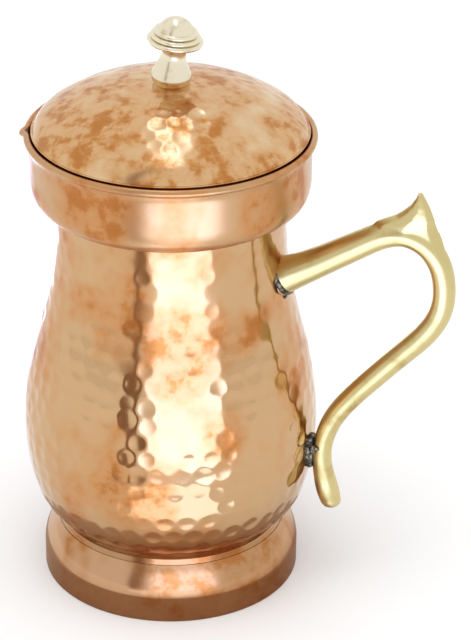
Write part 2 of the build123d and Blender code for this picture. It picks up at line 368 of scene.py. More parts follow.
@dataclass(frozen=True)
class BuffedBrass:
    """Brass, cast and filed or turned, then buffed: pale yellow, browner where it is not rubbed."""

    name: str
    bright: str = "#D0C088"
    shade: str = "#AD8E4E"
    cloud_mm: float = 16.0
    cover: tuple[float, float] = (0.50, 0.80)
    roughness: tuple[float, float] = (0.32, 0.44)
    grain_mm: float = 0.6         # casting grain left after buffing, drawn coarse enough to show
    grain_depth: float = 0.03
    pits: float = 0.25            # share of the deepest shade in stray pits

    def make(self) -> bpy.types.Material:
        """Build the node material."""
        material, tree, shader = blank_material(self.name)
        where = add_node(tree, "ShaderNodeTexCoord").outputs["Object"]
        clouds = add_node(tree, "ShaderNodeTexNoise", {
            "Scale": 1 / (self.cloud_mm * MM), "Detail": 4.0, "Roughness": 0.55}, {"Vector": where})
        cover = add_node(tree, "ShaderNodeMapRange", {
            "interpolation_type": "SMOOTHSTEP", "From Min": self.cover[0], "From Max": self.cover[1]},
            {"Value": clouds.outputs["Fac"]})
        pits = add_node(tree, "ShaderNodeTexVoronoi", {"Scale": 1 / (4.5 * MM)}, {"Vector": where})
        specks = add_node(tree, "ShaderNodeMapRange", {
            "From Min": 0.02, "From Max": 0.10, "To Min": self.pits, "To Max": 0.0},
            {"Value": pits.outputs["Distance"]})
        worn = add_node(tree, "ShaderNodeMath", {"operation": "MAXIMUM"},
                        {0: cover.outputs[0], 1: specks.outputs[0]})
        colour = add_node(tree, "ShaderNodeMix", {"data_type": "RGBA"}, {"Factor": worn.outputs[0]})
        colour.inputs[6].default_value = to_linear(self.bright)
        colour.inputs[7].default_value = to_linear(self.shade)
        gloss = add_node(tree, "ShaderNodeMapRange", {
            "To Min": self.roughness[0], "To Max": self.roughness[1]}, {"Value": worn.outputs[0]})
        grain = add_node(tree, "ShaderNodeTexNoise", {
            "Scale": 1 / (self.grain_mm * MM), "Detail": 3.0}, {"Vector": where})
        bump = add_node(tree, "ShaderNodeBump", {"Strength": 0.4, "Distance": self.grain_depth * MM},
                        {"Height": grain.outputs["Fac"]})
        tree.links.new(colour.outputs[2], shader.inputs["Base Color"])
        tree.links.new(gloss.outputs[0], shader.inputs["Roughness"])
        tree.links.new(bump.outputs[0], shader.inputs["Normal"])
        return material


@dataclass(frozen=True)
class DullFiller:
    """Brazing or soft solder left as it ran: lumpy, oxidised grey-green, brighter where scraped."""

    name: str
    dark: str = "#4B463B"
    light: str = "#9A9078"
    lump_mm: float = 2.2
    roughness: tuple[float, float] = (0.34, 0.62)
    depth: float = 0.25

    def make(self) -> bpy.types.Material:
        """Build the node material."""
        material, tree, shader = blank_material(self.name)
        where = add_node(tree, "ShaderNodeTexCoord").outputs["Object"]
        lumps = add_node(tree, "ShaderNodeTexNoise", {
            "Scale": 1 / (self.lump_mm * MM), "Detail": 5.0, "Roughness": 0.65}, {"Vector": where})
        ramp = add_node(tree, "ShaderNodeMapRange", {
            "interpolation_type": "SMOOTHSTEP", "From Min": 0.42, "From Max": 0.70},
            {"Value": lumps.outputs["Fac"]})
        colour = add_node(tree, "ShaderNodeMix", {"data_type": "RGBA"}, {"Factor": ramp.outputs[0]})
        colour.inputs[6].default_value = to_linear(self.dark)
        colour.inputs[7].default_value = to_linear(self.light)
        gloss = add_node(tree, "ShaderNodeMapRange", {
            "To Min": self.roughness[1], "To Max": self.roughness[0]}, {"Value": ramp.outputs[0]})
        bump = add_node(tree, "ShaderNodeBump", {"Strength": 0.6, "Distance": self.depth * MM},
                        {"Height": lumps.outputs["Fac"]})
        tree.links.new(colour.outputs[2], shader.inputs["Base Color"])
        tree.links.new(gloss.outputs[0], shader.inputs["Roughness"])
        tree.links.new(bump.outputs[0], shader.inputs["Normal"])
        return material


def blank_material(name: str, metallic: float = 1.0
                   ) -> tuple[bpy.types.Material, bpy.types.NodeTree, bpy.types.Node]:
    """Start a node material.

    Args:
        name: name of the real material and its making.
        metallic: 1 for a metal, 0 for anything else.

    Returns:
        The material, its node tree and its shader node.
    """
    material = bpy.data.materials.new(name)
    material.use_nodes = True
    shader = material.node_tree.nodes["Principled BSDF"]
    shader.inputs["Metallic"].default_value = metallic
    return material, material.node_tree, shader


@dataclass(frozen=True)
class Finishes:
    """Every material of the jug, made once."""

    hammered: bpy.types.Material
    lid: bpy.types.Material
    spun: bpy.types.Material
    foot: bpy.types.Material
    inner: bpy.types.Material
    handle: bpy.types.Material
    knob: bpy.types.Material
    braze: bpy.types.Material
    solder: bpy.types.Material
    wire: bpy.types.Material

    @classmethod
    def make(cls) -> "Finishes":
        """Build all of them."""
        spun_scratches = (1.0, 1.0, 22.0)
        return cls(
            hammered=PolishedCopper("hammered_copper_buffed").make(),
            lid=PolishedCopper("hammered_copper_lid", bright="#E0C49C", warm="#CD9050", deep="#B5743A",
                               cloud_mm=26.0, mottle_mm=8.0, cloud_cover=(0.25, 0.52),
                               roughness=(0.12, 0.26)).make(),
            spun=PolishedCopper("spun_copper_buffed", bright="#C49C72", cloud_mm=34.0,
                                roughness=(0.26, 0.38), scratch_depth=0.05,
                                scratch_stretch=spun_scratches).make(),
            # foot: its band below the crease gets painted shade, standing for the dark floor reflected in
            # it
            foot=PolishedCopper("spun_copper_foot", bright="#C49B76", warm="#B27E50", painted_shade="#8A5E42",
                                painted_shade_z=(11.8, 12.6), painted_shade_cover=0.3, roughness=(0.14, 0.26),
                                scratch_depth=0.02, scratch_stretch=spun_scratches).make(),
            # unpolished copper of the hidden insides, darkened further as painted shade for the gap under
            # the lid's lip
            inner=PolishedCopper("spun_copper_unpolished_gap_shade", bright="#94674A", warm="#754A32",
                                 roughness=(0.30, 0.45)).make(),
            handle=BuffedBrass("cast_brass_buffed").make(),
            knob=BuffedBrass("turned_brass_buffed", bright="#E9DFC6", shade="#B8A274",
                             cloud_mm=9.0, roughness=(0.24, 0.36), grain_mm=0.4).make(),
            braze=DullFiller("brazing_as_run").make(),
            solder=DullFiller("soft_solder_as_run", dark="#45423A", light="#A39B86").make(),
            wire=DullFiller("iron_wire_drawn", dark="#55524C", light="#8C8981", depth=0.02).make(),
        )


# ---- hammering -------------------------------------------------------------------------------
@dataclass(frozen=True)
class HammerMarks:
    """Rows of round hollows left by a ball-faced planishing hammer."""

    spacing: float        # between marks along a row, mm
    row_pitch: float      # between rows, mm
    radius: float         # of a mark, mm
    depth: float          # at its middle, mm
    stray: float          # how far a mark strays from its row, mm
    seed: int

    def hollow(self, angle: np.ndarray, run: np.ndarray, around: np.ndarray,
               ends: tuple[float, float], strength: np.ndarray) -> np.ndarray:
        """How deep the hammer has pressed each point.

        Args:
            angle: angle of each point about the axis, in radians.
            run: its distance along the outline, in mm.
            around: radius at the point, in mm.
            ends: first and last distance that the rows cover.
            strength: 0 to 1 for each point, how hard the blows are there.

        Returns:
            Depth at each point, in mm.
        """
        random = np.random.default_rng(self.seed)
        depth = np.zeros_like(run)
        rows = int((ends[1] - ends[0]) / self.row_pitch) + 1
        for row in range(rows):
            level = ends[0] + row * self.row_pitch
            near = np.abs(run - level) < self.radius * 1.4 + self.stray
            if not near.any():
                continue
            girth = 2 * math.pi * float(np.median(around[near]))
            count = max(1, round(girth / self.spacing))
            shift = random.uniform(0, 1)
            off_round = random.normal(0, self.stray * 0.5, count)
            off_run = random.normal(0, self.stray * 0.5, count)
            size = self.radius * random.uniform(0.82, 1.14, count)
            blow = self.depth * random.uniform(0.45, 1.25, count)
            turn = angle[near] / (2 * math.pi) * count - shift
            for neighbour in (-1, 0, 1):
                mark = np.round(turn).astype(int) + neighbour
                which = mark % count
                across = (turn - mark) * girth / count - off_round[which]
                along = run[near] - level - off_run[which]
                part = (across ** 2 + along ** 2) / size[which] ** 2
                press = blow[which] * np.clip(1 - part, 0, None)
                depth[near] = np.maximum(depth[near], press)
        return depth * strength


WAVES = 14
WAVE_LOBES = (3, 17)          # fewest, and one past the most, of a wave's lobes round the axis
WAVE_LENGTH = (22, 60)        # shortest and longest wave along the outline, mm


def waviness(angle: np.ndarray, run: np.ndarray, seed: int) -> np.ndarray:
    """Slow unevenness of hand-raised sheet, about -1 to 1, as a sum of a few waves."""
    random = np.random.default_rng(seed)
    total = np.zeros_like(run)
    for _ in range(WAVES):
        lobes = random.integers(*WAVE_LOBES)
        length = random.uniform(*WAVE_LENGTH)
        phase, slope = random.uniform(0, 2 * math.pi, 2)
        total += np.sin(lobes * angle + phase) * np.cos(2 * math.pi * run / length + slope)
    return total / math.sqrt(WAVES)


def fade(value: np.ndarray, start: float, end: float) -> np.ndarray:
    """Rise smoothly from 0 at start to 1 at end."""
    t = np.clip((value - start) / (end - start), 0, 1)
    return t * t * (3 - 2 * t)


# ---- vessel ----------------------------------------------------------------------------------
@dataclass
class HammeredBody:
    """Pear-shaped body: hammered belly and neck, smooth waist, hidden skirt."""

    skirt_r: float = 53.0
    skirt: Point = (10.0, 23.5)
    waist_r: float = 51.0
    waist: Point = (28.4, 30.6)
    belly: list[Point] = field(default_factory=lambda: [
        (53.5, 32.3), (59.2, 38.6), (63.2, 48.5), (65.8, 61.0), (66.6, 74.0), (65.6, 91.0),
        (62.7, 108.5), (58.1, 127.5), (53.2, 149.0)])
    neck_r: float = 51.3
    neck_z: float = 172.0
    top: float = 187.0
    sheet: float = 1.0
    spacing: float = 1.05         # of the outer face's rows, mm
    steps: int = 400
    marks: HammerMarks = HammerMarks(9.4, 8.4, 4.3, 0.38, 1.3, 11)
    wave: float = 0.10            # mm
    skirt_bend: Point = (52.3, 25.9)
    first_row: float = 3.0        # of marks, above the waist, mm
    waist_fade: Point = (-0.5, 3.0)        # the blows begin between these heights from the waist
    collar_fade: Point = (178.0, 184.0)    # and end between these, under the collar
    neck_fade: Point = (100.0, 165.0)      # they grow lighter between these
    neck_ease: float = 0.55                # by this share

    def outer_line(self) -> list[Point]:
        """Outer face from the skirt's lower edge to the neck's top."""
        flare = smooth_line([(self.skirt_r, self.skirt[1]), self.skirt_bend,
                             (self.waist_r, self.waist[0])], self.spacing)
        belly = smooth_line([(self.waist_r, self.waist[1]), *self.belly, (self.neck_r, self.neck_z)],
                            self.spacing)
        neck = smooth_line([(self.neck_r, self.neck_z), (self.neck_r, self.top)], 2.0)
        return [(self.skirt_r, self.skirt[0]), *flare, *belly, *neck[1:]]

    def build(self) -> bpy.types.Object:
        """Spin both faces of the sheet and hammer the outer one."""
        outer = self.outer_line()
        inner = inward(outer, self.sheet)
        inner[0] = (self.skirt_r - self.sheet, self.skirt[0])
        inner[-1] = (self.neck_r - self.sheet, self.top)
        outline = outer + list(reversed(thin(inner, 5))) + [outer[0]]
        piece = lathe("hammered_body_skin", outline, self.steps)
        self.hammer(piece, outer)
        return piece

    def hammer(self, piece: bpy.types.Object, outer: list[Point]) -> None:
        """Press the rows of marks into the outer face."""
        co, normal = coordinates(piece), coordinates(piece, "normal")
        line = np.array(outer)
        run_of = np.concatenate([[0], np.cumsum(np.linalg.norm(np.diff(line, axis=0), axis=1))])
        radius, height = np.hypot(co[:, 0], co[:, 1]) / MM, co[:, 2] / MM
        angle = np.arctan2(co[:, 1], co[:, 0])
        run = np.interp(height, line[:, 1], run_of)
        face = np.abs(radius - np.interp(height, line[:, 1], line[:, 0])) < self.sheet * 0.35
        above_waist = height - self.waist[1]
        strength = fade(above_waist, *self.waist_fade) * (1 - fade(height, *self.collar_fade))
        strength *= 1.0 - self.neck_ease * fade(height, *self.neck_fade)
        ends = (float(np.interp(self.waist[1], line[:, 1], run_of)) + self.first_row, run_of[-1])
        press = self.marks.hollow(angle, run, radius, ends, strength)
        sway = self.wave * waviness(angle, run, 5) * strength
        place(piece, co + normal * ((sway - press) * face)[:, None] * MM)

    def dress(self, piece: bpy.types.Object, finishes: Finishes) -> None:
        """Give it its copper and hang it on the vessel."""
        finish(piece, finishes.hammered, Body.VESSEL, ("hammered_body",),
               sharp_angle=60)


@dataclass
class MouthCollar:
    """Spun collar with a rolled rim and a small pressed pouring lip."""

    neck_r: float = 51.3
    bottom: float = 183.2
    shoulder: list[Point] = field(default_factory=lambda: [(56.6, 184.9), (60.4, 188.6)])
    wall_r: float = 62.1
    wall: Point = (195.0, 208.0)
    sheet: float = 1.0
    rim: Point = (62.9, 215.4)
    rim_radius: float = 1.6
    lip_angle: float = 197.0
    lip_reach: float = 1.9
    lip_width: float = 4.8        # from its middle to where it has faded
    lip_share: float = 0.62       # of that width, at which its push has dropped to a third
    lip_depth: Point = (5.5, 0.8)          # below the rim's middle, the push grows between these
    lip_droop: float = 0.18       # how far it goes down for its way out
    flare: list[Point] = field(default_factory=lambda: [(62.35, 211.0), (63.35, 213.75)])
    rim_turn: Point = (-68.0, 218.0)       # first and last angle of the rolled rim
    steps: int = 288

    def outline(self) -> list[Point]:
        """Closed half outline: out along the shoulder, up the wall, round the rim and back down."""
        shoulder = smooth_line([(self.neck_r, self.bottom), *self.shoulder,
                                (self.wall_r, self.wall[0])], 0.9)
        wall = smooth_line([(self.wall_r, self.wall[0]), (self.wall_r, self.wall[1])], 2.2)
        flare = smooth_line([(self.wall_r, self.wall[1]), *self.flare], 0.7)
        rim = arc(self.rim, self.rim_radius, *self.rim_turn, 22)
        inside = inward(shoulder + wall[1:] + flare[1:-2], self.sheet)
        inside[0] = (self.neck_r, self.bottom + self.sheet * 1.1)
        return shoulder + wall[1:] + flare[1:] + rim + list(reversed(inside)) + [shoulder[0]]

    def build(self) -> bpy.types.Object:
        """Spin the collar and push out its lip."""
        piece = lathe("mouth_collar_skin", self.outline(), self.steps)
        co = coordinates(piece)
        angle = np.arctan2(co[:, 1], co[:, 0]) - math.radians(self.lip_angle)
        angle = (angle + math.pi) % (2 * math.pi) - math.pi
        across = angle * self.rim[0]
        push = np.exp(-(across / (self.lip_width * self.lip_share)) ** 2)
        push *= fade(co[:, 2] / MM, *[self.rim[1] - depth for depth in self.lip_depth])
        outward = co.copy()
        outward[:, 2] = 0
        outward /= np.linalg.norm(outward, axis=1)[:, None]
        outward[:, 2] = -self.lip_droop
        place(piece, co + outward * (push * self.lip_reach * MM)[:, None])
        return piece

    def dress(self, piece: bpy.types.Object, finishes: Finishes) -> None:
        """Give it its copper and hang it on the vessel."""
        finish(piece, finishes.spun, Body.VESSEL, ("mouth_collar",),
               sharp_angle=35)


@dataclass
class FootRing:
    """Foot: upright band, a crisp crease and a shoulder drawn in to the waist."""

    radius: float = 58.7
    crease: float = 12.4
    shoulder: list[Point] = field(default_factory=lambda: [
        (58.0, 16.0), (56.7, 19.4), (55.2, 22.2), (53.8, 24.3), (52.6, 26.0)])
    edge: list[Point] = field(default_factory=lambda: [(52.35, 26.1), (52.3, 25.6), (52.9, 24.4)])
    inside: list[Point] = field(default_factory=lambda: [(53.05, 22.4), (55.6, 18.6), (56.8, 15.7)])
    sheet: float = 1.2
    steps: int = 288

    def build(self) -> bpy.types.Object:
        """Spin the foot."""
        band = [(self.radius - 0.35, 0.0), (self.radius - 0.1, 0.12), (self.radius, 0.5),
                *smooth_line([(self.radius, 1.5), (self.radius, self.crease - 0.5)], 1.2),
                (self.radius, self.crease)]
        shoulder = smooth_line([(self.radius, self.crease), *self.shoulder], 0.9)
        inside = smooth_line([*self.inside, (self.radius - self.sheet, self.crease)], 1.6)
        outline = band + shoulder[1:] + self.edge + inside + [(self.radius - self.sheet, 0.0), band[0]]
        return lathe("foot_ring_skin", outline, self.steps)

    def dress(self, piece: bpy.types.Object, finishes: Finishes) -> None:
        """Give it its copper and hang it on the vessel."""
        finish(piece, finishes.foot, Body.VESSEL, ("foot_ring",),
               sharp_angle=28)


# ---- handle ----------------------------------------------------------------------------------
@dataclass
class CastHandle:
    """One brass casting: a bar with filed flats, a thumb rest drawn up to a point, a free tail."""

    line: list[Triple] = field(default_factory=lambda: [
        (49.5, 152.9, 18.0), (57.5, 157.2, 15.8), (66.5, 162.3, 14.2), (77.0, 168.7, 13.2),
        (88.0, 175.5, 12.4), (97.5, 180.7, 11.8), (106.5, 182.5, 11.2), (115.5, 179.4, 10.8),
        (122.3, 171.4, 10.4), (125.2, 160.0, 10.2), (124.2, 148.4, 10.6), (118.8, 137.4, 10.9),
        (107.0, 123.6, 10.6), (94.4, 109.4, 10.4), (84.6, 97.6, 9.8), (77.0, 86.0, 9.4),
        (73.2, 75.6, 9.0), (72.1, 65.8, 8.9), (73.3, 56.6, 9.6), (75.4, 48.4, 10.4),
        (76.9, 43.6, 9.4)])
    thumb: list[tuple[float, float, float, float]] = field(default_factory=lambda: [
        (176.3, 119.4, 12.4, 9.4), (181.4, 109.5, 29.0, 10.4), (184.4, 107.2, 31.4, 10.0),
        (187.0, 107.4, 28.0, 9.6), (189.2, 109.0, 22.8, 9.2), (191.2, 110.9, 18.0, 8.8),
        (193.6, 112.0, 13.8, 8.2), (196.9, 113.0, 9.0, 6.8), (200.7, 113.1, 4.4, 5.0),
        (203.0, 112.9, 1.9, 3.6)])
    neck_face: float = 51.2       # the upper end is cut off here, on the neck
    flats: float = 1.07           # reach of the section's corners, over the bar's half width
    tail_squash: Triple = (1.0, 1.04, 0.72)
    corner: float = 0.34          # rounding between the filed flats, as a share of the half width
    voxel: float = 0.62           # mm
    softening: int = 6

    def section(self) -> bpy.types.Object:
        """Bar section of unit radius: eight filed flats with rounded corners, as a closed curve."""
        deselect()
        bpy.ops.mesh.primitive_circle_add(vertices=8, radius=self.flats,
                                          rotation=(0, 0, math.pi / 8))
        section = bpy.context.object
        settle(section)
        bpy.ops.object.mode_set(mode="EDIT")
        bpy.ops.mesh.select_all(action="SELECT")
        bpy.ops.mesh.bevel(offset=self.corner, segments=4, affect="VERTICES")
        bpy.ops.object.mode_set(mode="OBJECT")
        bpy.ops.object.convert(target="CURVE")
        return section

    def bar(self) -> bpy.types.Object:
        """Bar along the handle's line."""
        stations = smooth_line(self.line, 2.0)
        bar = trace(stations)
        bpy.ops.object.mode_set(mode="OBJECT")
        bpy.ops.object.convert(target="CURVE")
        section = self.section()
        points = bar.data.splines[0].points
        forward = points[0].co.x < points[-1].co.x
        sizes = [station[2] for station in (stations if forward else reversed(stations))]
        for point, size in zip(points, sizes):
            point.radius = size / 2 * MM
        bar.data.bevel_mode = "OBJECT"
        bar.data.bevel_object = section
        bar.data.use_fill_caps = True
        pick(bar)
        bpy.ops.object.convert(target="MESH")
        bpy.data.objects.remove(section)
        bpy.ops.object.mode_set(mode="EDIT")
        close_seams()
        bpy.ops.object.mode_set(mode="OBJECT")
        return bar

    def tail(self) -> bpy.types.Object:
        """Rounded end of the free tail."""
        x, z, size = self.line[-1]
        deselect()
        bpy.ops.mesh.primitive_uv_sphere_add(segments=24, ring_count=16, radius=size / 2 * MM,
                                             location=(x * MM, 0, z * MM))
        bpy.ops.transform.resize(value=self.tail_squash)
        ball = bpy.context.object
        settle(ball)
        return ball

    def thumb_rest(self) -> bpy.types.Object:
        """Fin with a ridge down each side, drawn up station by station to its tip."""
        z, x, length, depth = self.thumb[0]
        deselect()
        bpy.ops.mesh.primitive_circle_add(vertices=8, radius=1, fill_type="NGON",
                                          location=(x * MM, 0, z * MM))
        fin = bpy.context.object
        bpy.ops.transform.resize(value=(length / 2 * MM, depth / 2 * MM, 1))
        settle(fin)
        bpy.ops.object.mode_set(mode="EDIT")
        bpy.ops.mesh.select_all(action="SELECT")
        for z1, x1, length1, depth1 in self.thumb[1:]:
            step = {"value": ((x1 - x) * MM, 0, (z1 - z) * MM)}
            bpy.ops.mesh.extrude_region_move(TRANSFORM_OT_translate=step)
            bpy.ops.transform.resize(value=(length1 / length, depth1 / depth, 1),
                                     center_override=(x1 * MM, 0, z1 * MM))
            z, x, length, depth = z1, x1, length1, depth1
        close_seams()
        bpy.ops.object.mode_set(mode="OBJECT")
        return fin

    def build(self) -> bpy.types.Object:
        """Run bar, tail and thumb rest together, as one casting, and cut its end to the neck."""
        piece = join(self.bar(), self.tail(), self.thumb_rest())
        piece.name = "handle_casting"
        apply_modifier(piece, "REMESH", mode="VOXEL", voxel_size=self.voxel * MM)
        apply_modifier(piece, "SMOOTH", factor=0.5, iterations=self.softening)
        pick(piece)
        bpy.ops.object.mode_set(mode="EDIT")
        bpy.ops.mesh.select_all(action="SELECT")
        bpy.ops.mesh.bisect(plane_co=(self.neck_face * MM, 0, 0), plane_no=(1, 0, 0),
                            clear_inner=True, use_fill=True)
        close_seams()
        bpy.ops.object.mode_set(mode="OBJECT")
        return piece

    def dress(self, piece: bpy.types.Object, finishes: Finishes) -> None:
        """Give it its brass and hang it on the vessel."""
        finish(piece, finishes.handle, Body.VESSEL, ("handle",), sharp_angle=50)


@dataclass
class Joints:
    """Brazing at the handle's upper end and the solder pad at its lower end."""

    braze_at: tuple[float, float] = (51.9, 155.0)
    braze_tilt: float = 29.0      # of the ring, degrees from upright
    braze_ring: tuple[float, float] = (8.5, 1.5)
    pad_at: tuple[float, float] = (66.9, 68.0)
    pad_size: Triple = (3.4, 7.6, 15.6)
    braze_drops: list[tuple[Triple, Triple]] = field(default_factory=lambda: [    # middle, size
        ((53.2, -1.5, 145.2), (3.4, 4.2, 3.6)),
        ((52.2, 3.5, 145.8), (3.0, 4.0, 2.8))])
    pad_runs: list[tuple[Triple, Triple]] = field(default_factory=lambda: [       # middle, size
        ((69.0, -3.9, 70.4), (3.0, 1.8, 5.0)),
        ((70.8, -4.5, 71.4), (2.8, 1.4, 2.6)),
        ((65.9, -3.7, 67.5), (2.6, 2.6, 6.5)),
        ((65.9, 3.6, 69.0), (2.6, 2.6, 6.0))])

    def lump(self, piece: bpy.types.Object, size: float, depth: float) -> None:
        """Make a filler's surface lumpy, as it ran and set."""
        texture = bpy.data.textures.new(piece.name + "_lumps", "CLOUDS")
        texture.noise_scale = size * MM
        texture.noise_depth = 2
        apply_modifier(piece, "SUBSURF", levels=2, render_levels=2)
        apply_modifier(piece, "DISPLACE", texture=texture, strength=depth * MM,
                       texture_coords="LOCAL", mid_level=0.5)

    def blob(self, where: Triple, size: Triple) -> bpy.types.Object:
        """One rounded drop of filler.

        Args:
            where: its middle, in mm.
            size: its size along x, y and z, in mm.

        Returns:
            The drop, at the origin.
        """
        deselect()
        bpy.ops.mesh.primitive_ico_sphere_add(subdivisions=3, radius=0.5 * MM,
                                              location=[v * MM for v in where])
        drop = bpy.context.object
        bpy.ops.transform.resize(value=size)
        settle(drop)
        return drop

    def braze(self) -> bpy.types.Object:
        """Ring of brazing round the casting's end, with a drop hanging below it."""
        deselect()
        x, z = self.braze_at
        ring, bar = self.braze_ring
        bpy.ops.mesh.primitive_torus_add(
            major_segments=40, minor_segments=10, major_radius=ring * MM, minor_radius=bar * MM,
            location=(x * MM, 0, z * MM), rotation=(0, math.radians(90 - self.braze_tilt), 0))
        piece = bpy.context.object
        piece.name = "handle_braze_run"
        settle(piece)
        join(piece, *[self.blob(middle, size) for middle, size in self.braze_drops])
        self.fuse(piece, 0.55)
        self.lump(piece, 3.0, 0.6)
        return piece

    def pad(self) -> bpy.types.Object:
        """Pad of solder between belly and handle, with a little run out beside it."""
        deselect()
        x, z = self.pad_at
        bpy.ops.mesh.primitive_cube_add(size=1, location=(x * MM, 0, z * MM))
        piece = bpy.context.object
        piece.name = "solder_pad_run"
        bpy.ops.transform.resize(value=[v * MM for v in self.pad_size])
        settle(piece)
        bpy.ops.object.mode_set(mode="EDIT")
        bpy.ops.mesh.select_all(action="SELECT")
        bpy.ops.mesh.bevel(offset=1.2 * MM, segments=3)
        bpy.ops.object.mode_set(mode="OBJECT")
        join(piece, *[self.blob(middle, size) for middle, size in self.pad_runs])
        self.fuse(piece, 0.45)
        self.lump(piece, 2.4, 0.5)
        return piece

    def fuse(self, piece: bpy.types.Object, voxel: float) -> None:
        """Run joined lumps together into one skin."""
        apply_modifier(piece, "REMESH", mode="VOXEL", voxel_size=voxel * MM)
        apply_modifier(piece, "SMOOTH", factor=0.5, iterations=4)

    def dress(self, braze: bpy.types.Object, pad: bpy.types.Object, finishes: Finishes) -> None:
        """Give both their dull finish and hang them on the vessel."""
        finish(braze, finishes.braze, Body.VESSEL, ("handle_braze",), sharp_angle=60)
        finish(pad, finishes.solder, Body.VESSEL, ("solder_pad",), sharp_angle=60)


# ---- lid -------------------------------------------------------------------------------------
@dataclass
class LidDome:
    """Domed lid: hammered crown, smooth border, flat lip."""

    radius: float = 61.3
    seat: float = 217.05          # underside of the lip
    sheet: float = 0.8
    dome_r: float = 60.6
    rise: float = 22.4
    steps: int = 360
    spacing: float = 1.0
    marks: HammerMarks = HammerMarks(7.4, 6.4, 3.9, 0.28, 2.4, 23)
    wave: float = 0.09
    rows: Point = (10.0, 60.0)             # first and last row of marks, along the outline
    mark_start: Point = (9.0, 13.0)        # radii between which the blows begin, round the knob
    mark_end: Point = (47.0, 57.0)         # and end, before the smooth border
    wave_start: Point = (9.0, 16.0)
    wave_end: Point = (54.0, 60.0)

    def height(self, r: float) -> float:
        """Height of the outer face at a radius: halfway between an ellipse and a round cap."""
        sphere = (self.dome_r ** 2 + self.rise ** 2) / (2 * self.rise)
        cap = math.sqrt(sphere ** 2 - r ** 2) - (sphere - self.rise)
        ellipse = self.rise * math.sqrt(max(0.0, 1 - (r / self.dome_r) ** 2))
        return self.seat + self.sheet + (cap + ellipse) / 2

    def outer_line(self) -> list[Point]:
        """Outer face from the lip to the middle."""
        shares = (1.0, 0.96, 0.88, 0.75, 0.55, 0.3, 0.0)
        dome = smooth_line([(self.dome_r * s, self.height(self.dome_r * s)) for s in shares], self.spacing)
        return dome[:-1] + [(0.0, dome[-1][1])]

    def build(self) -> bpy.types.Object:
        """Spin both faces of the dome with its lip and hammer the crown."""
        outer = self.outer_line()
        scale = (self.dome_r - self.sheet) / self.dome_r
        inner = [(r * scale, z - self.sheet) for r, z in thin(outer, 5)]
        lip_top = self.seat + self.sheet
        lip = [(self.radius - 0.15, lip_top), (self.radius, lip_top - 0.2),
               (self.radius, self.seat + 0.2), (self.radius - 0.15, self.seat)]
        outline = list(reversed(outer)) + lip + inner
        piece = lathe("lid_dome_skin", outline, self.steps)
        self.hammer(piece, outer)
        return piece

    def hammer(self, piece: bpy.types.Object, outer: list[Point]) -> None:
        """Press the marks into the crown and leave the border smooth."""
        co, normal = coordinates(piece), coordinates(piece, "normal")
        radius, height = np.hypot(co[:, 0], co[:, 1]) / MM, co[:, 2] / MM
        angle = np.arctan2(co[:, 1], co[:, 0])
        line = np.array(outer)[::-1]
        run_of = np.concatenate([[0], np.cumsum(np.linalg.norm(np.diff(line, axis=0), axis=1))])
        run = np.interp(radius, line[:, 0], run_of)
        face = np.abs(height - np.interp(radius, line[:, 0], line[:, 1])) < self.sheet * 0.35
        strength = (1 - fade(radius, *self.mark_end)) * fade(radius, *self.mark_start)
        press = self.marks.hollow(angle, run, radius, self.rows, strength)
        sway = self.wave * waviness(angle, run, 9) * fade(radius, *self.wave_start)
        sway *= 1 - fade(radius, *self.wave_end)
        place(piece, co + normal * ((sway - press) * face)[:, None] * MM)

    def dress(self, piece: bpy.types.Object, finishes: Finishes) -> None:
        """Give it its copper and hang it on the lid."""
        finish(piece, finishes.lid, Body.LID, ("lid_dome",), sharp_angle=50)


@dataclass
class TurnedKnob:
    """Turned brass knob: flared foot, waisted stem, three rings and a cap, a little out of true."""

    foot: list[Point] = field(default_factory=lambda: [
        (8.2, 0.4), (8.85, 2.6), (7.7, 6.2), (5.8, 10.8), (5.6, 14.0), (6.6, 16.6), (8.2, 17.7)])
    rings: list[Triple] = field(default_factory=lambda: [
        (12.3, 18.3, 20.4), (11.0, 20.4, 22.4), (9.6, 22.4, 24.4)])
    bulge: float = 0.8
    cap_r: float = 7.9
    height: float = 30.0
    lean: float = 6.0             # degrees out of upright, towards the handle
    sunk: float = 0.9             # its blank reaches this far into the dome's top
    blank_r: float = 7.4
    steps: int = 96

    def build(self, dome_top: float) -> bpy.types.Object:
        """Turn the knob and stand it on the dome.

        Args:
            dome_top: height of the dome's middle, in mm.

        Returns:
            The knob in place.
        """
        outline = [(0.0, -self.sunk), (self.blank_r, -self.sunk), *smooth_line(self.foot, 0.6)]
        for radius, low, high in self.rings:
            middle, half = (low + high) / 2, (high - low) / 2
            inner = radius - self.bulge
            outline.append((inner - 0.25, low + 0.05))
            outline += [(inner + self.bulge * math.cos(a), middle + half * 0.95 * math.sin(a))
                        for a in np.radians(np.linspace(-90, 90, 9))]
        base = self.rings[-1][2]
        rise = self.height - base
        sphere = (self.cap_r ** 2 + rise ** 2) / (2 * rise)
        edge = math.degrees(math.acos(self.cap_r / sphere))
        outline.append((self.cap_r - 0.15, base + 0.05))
        outline += arc((0.0, self.height - sphere), sphere, edge, 90, 16)[:-1] + [(0.0, self.height)]
        piece = lathe("knob_turning", outline, self.steps)
        turn = Matrix.Rotation(math.radians(self.lean), 4, "Y")
        piece.matrix_world = Matrix.Translation((0, 0, dome_top * MM)) @ turn
        settle(piece)
        return piece

    def dress(self, piece: bpy.types.Object, finishes: Finishes) -> None:
        """Give it its brass and hang it on the lid."""
        finish(piece, finishes.knob, Body.LID, ("knob",), sharp_angle=32)


# ---- hidden and plain pieces -----------------------------------------------------------------
def dress_frame_nodes(finishes: Finishes) -> None:
    """Give the pieces whose CAD shape is kept their materials."""
    materials = {
        "rim_wire": finishes.wire,
        "collar_seam": finishes.braze,
        "base_disc": finishes.inner,
        "base_seam": finishes.solder,
        # the lid skirt's darkened copper paints the shade in the gap under the lid's lip
        "lid_skirt": finishes.inner,
        "knob_washer": finishes.knob,
        "knob_screw": finishes.knob,
    }
    for name, material in materials.items():
        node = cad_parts[name]
        for slot in node.material_slots:
            slot.material = material
        LOG.info("%s: frame piece, %s", name, material.name)


